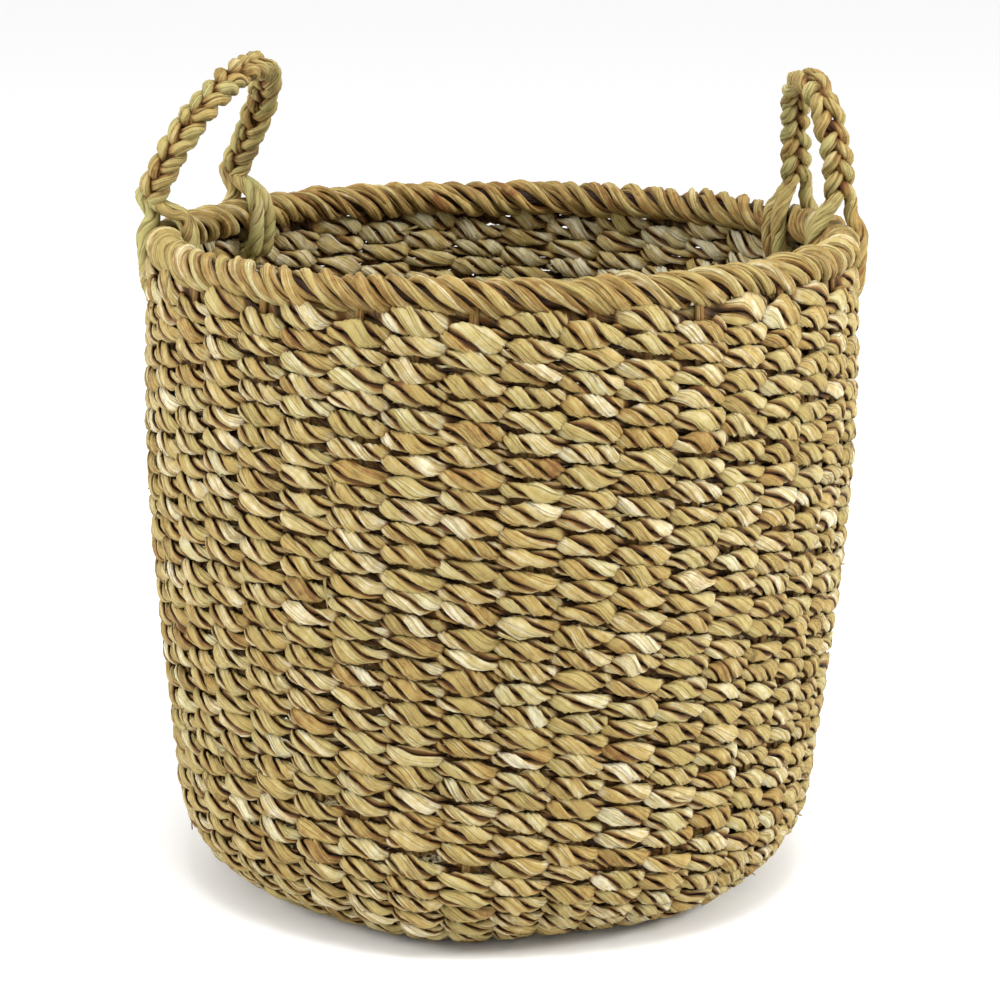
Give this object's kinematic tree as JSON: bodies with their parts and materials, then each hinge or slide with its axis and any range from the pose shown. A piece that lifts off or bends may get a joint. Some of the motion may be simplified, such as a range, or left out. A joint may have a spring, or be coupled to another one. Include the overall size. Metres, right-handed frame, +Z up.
{
  "type": "storage basket",
  "caption": "Round open storage basket of woven seagrass, with a flat base, a rolled border and two braided loop handles that fold over the mouth.",
  "frame": {"origin": "on the floor, in the middle of the base", "axes": "+Z up out of the mouth, +X towards the right handle's side, -Y the front, between the handles"},
  "size_m": [0.4434, 0.4352, 0.5029],
  "materials": {
    "woven_seagrass": "dry twisted seagrass leaf, matt with a faint waxy sheen",
    "stake_seagrass": "bundled seagrass leaf, matt and darker",
    "core_seagrass": "knotted seagrass leaf, matt",
    "border_seagrass": "rolled seagrass leaf, matt with a faint waxy sheen",
    "braided_seagrass": "braided seagrass leaf, greenish straw, matt with a faint waxy sheen"
  },
  "bodies": {
    "basket": {"base_mat": "core_seagrass", "base_course_1": "woven_seagrass", "base_course_2": "woven_seagrass", "base_course_3": "woven_seagrass", "base_course_4": "woven_seagrass", "base_course_5": "woven_seagrass", "base_course_6": "woven_seagrass", "base_course_7": "woven_seagrass", "wall_course_01": "woven_seagrass", "wall_course_02": "woven_seagrass", "wall_course_03": "woven_seagrass", "wall_course_04": "woven_seagrass", "wall_course_05": "woven_seagrass", "wall_course_06": "woven_seagrass", "wall_course_07": "woven_seagrass", "wall_course_08": "woven_seagrass", "wall_course_09": "woven_seagrass", "wall_course_10": "woven_seagrass", "wall_course_11": "woven_seagrass", "wall_course_12": "woven_seagrass", "wall_course_13": "woven_seagrass", "wall_course_14": "woven_seagrass", "wall_course_15": "woven_seagrass", "wall_course_16": "woven_seagrass", "wall_course_17": "woven_seagrass", "wall_course_18": "woven_seagrass", "wall_course_19": "woven_seagrass", "wall_course_20": "woven_seagrass", "wall_course_21": "woven_seagrass", "wall_course_22": "woven_seagrass", "wall_course_23": "woven_seagrass", "wall_course_24": "woven_seagrass", "wall_course_25": "woven_seagrass", "wall_course_26": "woven_seagrass", "wall_course_27": "woven_seagrass", "wall_course_28": "woven_seagrass", "wall_course_29": "woven_seagrass", "wall_course_30": "woven_seagrass", "wall_course_31": "woven_seagrass", "wall_course_32": "woven_seagrass", "stakes": "stake_seagrass", "rolled_border": "border_seagrass", "left_front_foot": "braided_seagrass", "left_rear_foot": "braided_seagrass", "right_front_foot": "braided_seagrass", "right_rear_foot": "braided_seagrass"},
    "left_loop": {"left_handle": "braided_seagrass"},
    "right_loop": {"right_handle": "braided_seagrass"}
  },
  "joints": [
    {"name": "left_handle_fold", "type": "hinge", "parent": "basket", "child": "left_loop", "pos_m": [-0.18584, 0.06399, 0.4201], "axis": [0.3256, 0.9455, 0], "range_deg": [-85, 60]},
    {"name": "right_handle_fold", "type": "hinge", "parent": "basket", "child": "right_loop", "pos_m": [0.19507, 0.04864, 0.4201], "axis": [0.2419, -0.9703, 0], "range_deg": [-62, 83]}
  ]
}
